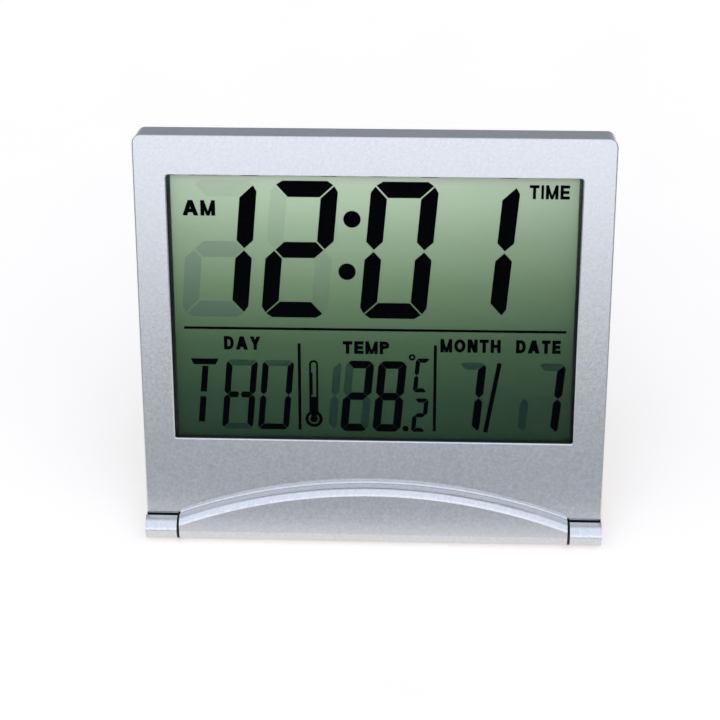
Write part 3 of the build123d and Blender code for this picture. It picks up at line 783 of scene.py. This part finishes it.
def brushed(name, first, second):
    """Bare metal with a fine grain along it."""
    return grained(
        name,
        first,
        second,
        BRUSHED_ROUGHNESS,
        metallic=1.0,
        scale=BRUSHED_SCALE,
        height=BRUSHED_HEIGHT,
        stretch=BRUSHED_STRETCH,
    )


def key_grey():
    """The keys' grey rubber, with a finer and deeper grain."""
    return grained(
        "key_grey",
        KEY_DARK,
        KEY_LIGHT,
        KEY_ROUGHNESS,
        scale=KEY_GRAIN_SCALE,
        height=KEY_GRAIN_HEIGHT,
    )


def painted_gap_shade(tree):
    """One in the gaps beside and above the knuckles, where the silver is darkened as painted
    shade.
    """
    x, y, z = coordinates(tree)
    side = calculate(tree, "ABSOLUTE", x)
    behind = calculate(tree, "SUBTRACT", y, hinge_point.y)
    over = calculate(tree, "SUBTRACT", z, hinge_point.z)
    squares = [product(tree, offset, offset) for offset in (behind, over)]
    near = calculate(tree, "LESS_THAN", calculate(tree, "ADD", *squares), GAP_REACH**2)
    height = calculate(
        tree, "ADD", product(tree, behind, upwards.y), product(tree, over, upwards.z)
    )
    below_line = calculate(tree, "LESS_THAN", height, GAP_LINE_HIGH)
    outside = calculate(tree, "GREATER_THAN", side, GAP_OUTER_X)
    beside = calculate(tree, "GREATER_THAN", side, GAP_INNER_X)
    beside = calculate(tree, "SUBTRACT", beside, outside)
    above = product(tree, calculate(tree, "GREATER_THAN", height, GAP_LINE_LOW), outside)
    return product(tree, near, below_line, calculate(tree, "MAXIMUM", beside, above))


def silver_shell():
    """Silver paint: metal flakes that differ a little in shade and gloss, with painted shade
    darkening the hinge gaps.
    """
    material, tree, shader = new_material("silver_shell")
    place = tree.nodes.new("ShaderNodeTexCoord")
    texture = tree.nodes.new("ShaderNodeTexVoronoi")
    put(tree, texture, "Scale", FLAKE_SCALE)
    put(tree, texture, "Vector", place.outputs["Object"])
    flakes = texture.outputs["Color"]
    colour = tint(tree, flakes, SILVER_DARK, SILVER_LIGHT, 0, 1)
    # Painted shade in the hinge gaps
    put(tree, shader, "Base Color", mix(tree, painted_gap_shade(tree), colour, GAP_SHADE_COLOUR))
    smoothest = SILVER_ROUGHNESS * (1 - SILVER_ROUGHNESS_SPREAD)
    roughest = SILVER_ROUGHNESS * (1 + SILVER_ROUGHNESS_SPREAD)
    put(tree, shader, "Roughness", spread(tree, flakes, smoothest, roughest, 0, 1))
    put(tree, shader, "Metallic", SILVER_METALLIC)
    bump(tree, shader, noise(tree, SILVER_GRAIN_SCALE), SILVER_GRAIN_HEIGHT)
    return material


def clear_lens():
    """Clear acrylic with the faintest haze."""
    material, tree, shader = new_material("clear_lens")
    texture = noise(tree, LENS_HAZE_SCALE, LENS_HAZE_DETAIL)
    put(tree, shader, "Roughness", spread(tree, texture, *LENS_ROUGHNESS))
    put(tree, shader, "Base Color", LENS_COLOUR)
    put(tree, shader, "Specular IOR Level", LENS_SPECULAR)
    put(tree, shader, "Alpha", LENS_ALPHA)
    return material


def lcd_face():
    """The display's grey-green face, with painted light and shade: lighter at the top, darker at
    the bottom and towards its sides.
    """
    material, tree, shader = new_material("lcd_face")
    x, _, z = coordinates(tree)
    bottom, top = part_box("front_polariser")
    # Painted light and shade by height on the face
    shade = tint(tree, between(tree, z, bottom.z, top.z), LCD_LOWEST, LCD_HIGHEST, 0, 1)
    for position, colour in LCD_SHADES:
        shade.node.color_ramp.elements.new(position).color = (*colour, 1)
    # Painted shade that darkens the face towards its sides
    away = calculate(tree, "DIVIDE", calculate(tree, "SUBTRACT", x, LCD_PAINTED_LIGHT_X), LCD_PAINTED_SHADE_REACH)
    painted_side_shade = product(tree, away, away, LCD_PAINTED_SHADE_FALL)
    put(tree, shader, "Base Color", mix(tree, painted_side_shade, shade, (0, 0, 0)))
    put(tree, shader, "Roughness", spread(tree, noise(tree, LCD_GRAIN_SCALE), *LCD_ROUGHNESS))
    put(tree, shader, "Specular IOR Level", LCD_SPECULAR)
    return material


def lcd_ink(name, colour, alpha):
    """A segment's finish, opaque where it is on."""
    lighter = [part * INK_MOTTLE for part in colour]
    material = grained(
        name, colour, lighter, INK_ROUGHNESS, scale=INK_GRAIN_SCALE, height=INK_GRAIN_HEIGHT
    )
    shader = material.node_tree.nodes["Principled BSDF"]
    shader.inputs["Alpha"].default_value = alpha
    shader.inputs["Specular IOR Level"].default_value = 0.0
    return material


def black_frame():
    """The frame's dark plastic, greyer towards the top as painted light."""
    material, tree, shader = new_material("black_frame")
    _, _, z = coordinates(tree)
    bottom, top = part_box("lcd_bezel")
    # Painted light: the colour lightens towards the top
    height = between(tree, z, bottom.z, top.z)
    put(tree, shader, "Base Color", tint(tree, height, FRAME_LOW, FRAME_HIGH, FRAME_START, 1))
    texture = noise(tree, GRAIN_SCALE, GRAIN_DETAIL)
    put(tree, shader, "Roughness", spread(tree, texture, *FRAME_ROUGHNESS))
    bump(tree, shader, texture, GRAIN_HEIGHT)
    return material


def glass_plate():
    """The display's glass, faintly green."""
    material, tree, shader = new_material("glass_plate")
    put(tree, shader, "Roughness", spread(tree, noise(tree, GLASS_HAZE_SCALE), *GLASS_ROUGHNESS))
    put(tree, shader, "Base Color", GLASS_COLOUR)
    put(tree, shader, "Alpha", GLASS_ALPHA)
    return material


def board_green():
    """Solder mask over a pattern of copper tracks."""
    material, tree, shader = new_material("board_green")
    place = tree.nodes.new("ShaderNodeTexCoord")
    tracks = tree.nodes.new("ShaderNodeTexBrick")
    put(tree, tracks, "Scale", TRACK_SCALE)
    put(tree, tracks, "Mortar Size", TRACK_WIDTH)
    put(tree, tracks, "Color1", MASK_DARK)
    put(tree, tracks, "Color2", MASK_LIGHT)
    put(tree, tracks, "Mortar", TRACK_COLOUR)
    put(tree, tracks, "Vector", place.outputs["Object"])
    put(tree, shader, "Base Color", tracks.outputs["Color"])
    put(tree, shader, "Roughness", spread(tree, tracks.outputs["Fac"], *MASK_ROUGHNESS, 0, 1))
    bump(tree, shader, tracks.outputs["Fac"], TRACK_HEIGHT)
    return material


def finishes():
    """Every material of the CAD nodes, by the record's slot names."""
    materials = {
        "silver_shell": silver_shell(),
        "clear_lens": clear_lens(),
        "black_frame": black_frame(),
        "lcd_face": lcd_face(),
        "glass_plate": glass_plate(),
        "board_green": board_green(),
        "key_grey": key_grey(),
    }
    for name, looks in GRAINED_FINISHES.items():
        materials[name] = grained(name, *looks)
    for name, colours in BRUSHED_FINISHES.items():
        materials[name] = brushed(name, *colours)
    return materials


def dress_nodes():
    """Gives every CAD node the finish of its slot."""
    materials = finishes()
    slots = {part["node"]: part["material_slot"] for part in frame["record"]["subparts"]}
    for name, node in frame["nodes"].items():
        node.data.materials.clear()
        node.data.materials.append(materials[slots[name]])


# Scene


def display_pieces():
    """The display's segments and words, riding on the clock."""
    ink = lcd_ink("lcd_ink", *INK)
    words = [outline for word in WORDS for outline in word_outlines(*word)]
    faint = faint_outlines([LARGE], LARGE_FAINT)
    pale = faint_outlines([LARGE], LARGE_PALE)
    small = faint_outlines([WEEKDAY, SMALL], SMALL_FAINT)
    pieces = (
        ("lcd_segments", lit_outlines(), ink, LIT_DEPTH),
        ("lcd_words", words, ink, LIT_DEPTH),
        ("lcd_faint_large", faint, lcd_ink("lcd_faint_large", *FAINT_INK), FAINT_DEPTH),
        ("lcd_faint_pale", pale, lcd_ink("lcd_faint_pale", *PALE_INK), FAINT_DEPTH),
        ("lcd_faint_small", small, lcd_ink("lcd_faint_small", *SMALL_FAINT_INK), FAINT_DEPTH),
    )
    for name, outlines, material, depth in pieces:
        piece = add_piece(name, plates(outlines, film_front - depth), material)
        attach(piece, "clock")


def gap_shade_washers():
    """Thin near-black washers that fill the gaps between the boss and the knuckles, as painted
    shade.
    """
    # Near-black finish that stands in for the gaps' shade
    finish = grained("gap_shade_washer", WASHER_DARK, WASHER_LIGHT, WASHER_ROUGHNESS)
    gap_x = (GAP_INNER_X + GAP_OUTER_X) / 2
    for name, x in (("left_washer", -gap_x), ("right_washer", gap_x)):
        piece = add_piece(name, washer(x), finish)
        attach(piece, "clock")


def sheet_edge(tree):
    """A value below one on the white sheet and above one off it."""
    x, y, _ = coordinates(tree)
    parts = []
    for value, reach in ((x, SHEET_HALF_WIDTH), (y, SHEET_HALF_DEPTH)):
        share = calculate(tree, "ABSOLUTE", calculate(tree, "DIVIDE", value, reach))
        parts.append(calculate(tree, "POWER", share, SHEET_POWER))
    return calculate(tree, "ADD", *parts)


def floor_material():
    """White sheet that reads white to the camera and keeps the clock's shadow, on grey."""
    material, tree, shader = new_material("floor")
    texture = noise(tree, FLOOR_GRAIN_SCALE)
    sheet, table = [
        tint(tree, texture, colour, [part * FLOOR_MOTTLE for part in colour])
        for colour in (SHEET_COLOUR, TABLE_COLOUR)
    ]
    off_sheet = between(tree, sheet_edge(tree), 1, 1 + SHEET_EDGE)
    put(tree, shader, "Base Color", mix(tree, off_sheet, sheet, table))
    put(tree, shader, "Roughness", spread(tree, texture, *FLOOR_ROUGHNESS))
    put(tree, shader, "Specular IOR Level", 0.0)
    path = tree.nodes.new("ShaderNodeLightPath")
    seen = path.outputs["Is Camera Ray"]
    for name in ("Is Glossy Ray", "Is Transmission Ray"):
        seen = calculate(tree, "MAXIMUM", seen, path.outputs[name])
    on_sheet = calculate(tree, "SUBTRACT", 1, off_sheet)
    put(tree, shader, "Emission Color", GLOW_COLOUR)
    put(tree, shader, "Emission Strength", product(tree, seen, on_sheet, SHEET_GLOW))
    return material


def floor():
    """A round floor."""
    mesh = bmesh.new()
    bmesh.ops.create_circle(mesh, cap_ends=True, radius=FLOOR_RADIUS, segments=FLOOR_RING)
    piece = add_piece("floor", mesh, floor_material())
    piece.location = (*FLOOR_MIDDLE, 0)


def world():
    """Bright in front and above, dim behind and at the sides, grey below the horizon."""
    surroundings = bpy.data.worlds.new("surroundings")
    bpy.context.scene.world = surroundings
    surroundings.use_nodes = True
    tree = surroundings.node_tree
    x, depth, height = coordinates(tree, "Generated")
    dim = mix(tree, between(tree, height, 0, sin(BACK_RISE)), BACK_LOW, BACK_HIGH)
    sky_rise = between(tree, height, sin(SKY_LOW_END), sin(SKY_HIGH_START))
    sideways = calculate(tree, "SUBTRACT", calculate(tree, "ABSOLUTE", x), height)
    sides = between(tree, sideways, SIDE_START, SIDE_END)
    sky = mix(tree, sides, mix(tree, sky_rise, SKY_LOW, SKY_HIGH), BACK_LOW)
    upper = mix(tree, between(tree, depth, SKY_END, BACK_START), sky, dim)
    lower_back = between(tree, depth, LOWER_FRONT_END, LOWER_BACK_START)
    lower = mix(tree, lower_back, WORLD_FRONT, BACK_LOW)
    horizon = between(tree, height, sin(HORIZON_LOW), sin(HORIZON_HIGH))
    background = tree.nodes["Background"]
    put(tree, background, "Color", mix(tree, horizon, lower, upper))
    put(tree, background, "Strength", 1.0)


def camera():
    """The photograph's viewpoint."""
    data = bpy.data.cameras.new("camera")
    data.lens = CAMERA_LENS
    data.sensor_width = CAMERA_SENSOR
    data.clip_start = CAMERA_CLIP
    viewer = bpy.data.objects.new("camera", data)
    bpy.context.scene.collection.objects.link(viewer)
    viewer.matrix_world = (
        clock_frame
        @ Matrix.Translation(CAMERA_PLACE)
        @ Matrix.Rotation(CAMERA_TURN, 4, "Z")
        @ Matrix.Rotation(CAMERA_TILT, 4, "X")
        @ Matrix.Rotation(CAMERA_ROLL, 4, "Y")
        @ Matrix.Rotation(pi / 2, 4, "X")
    )
    bpy.context.scene.camera = viewer


camera()
dress_nodes()
display_pieces()
gap_shade_washers()
floor()
world()
bpy.context.scene.view_settings.view_transform = "Standard"
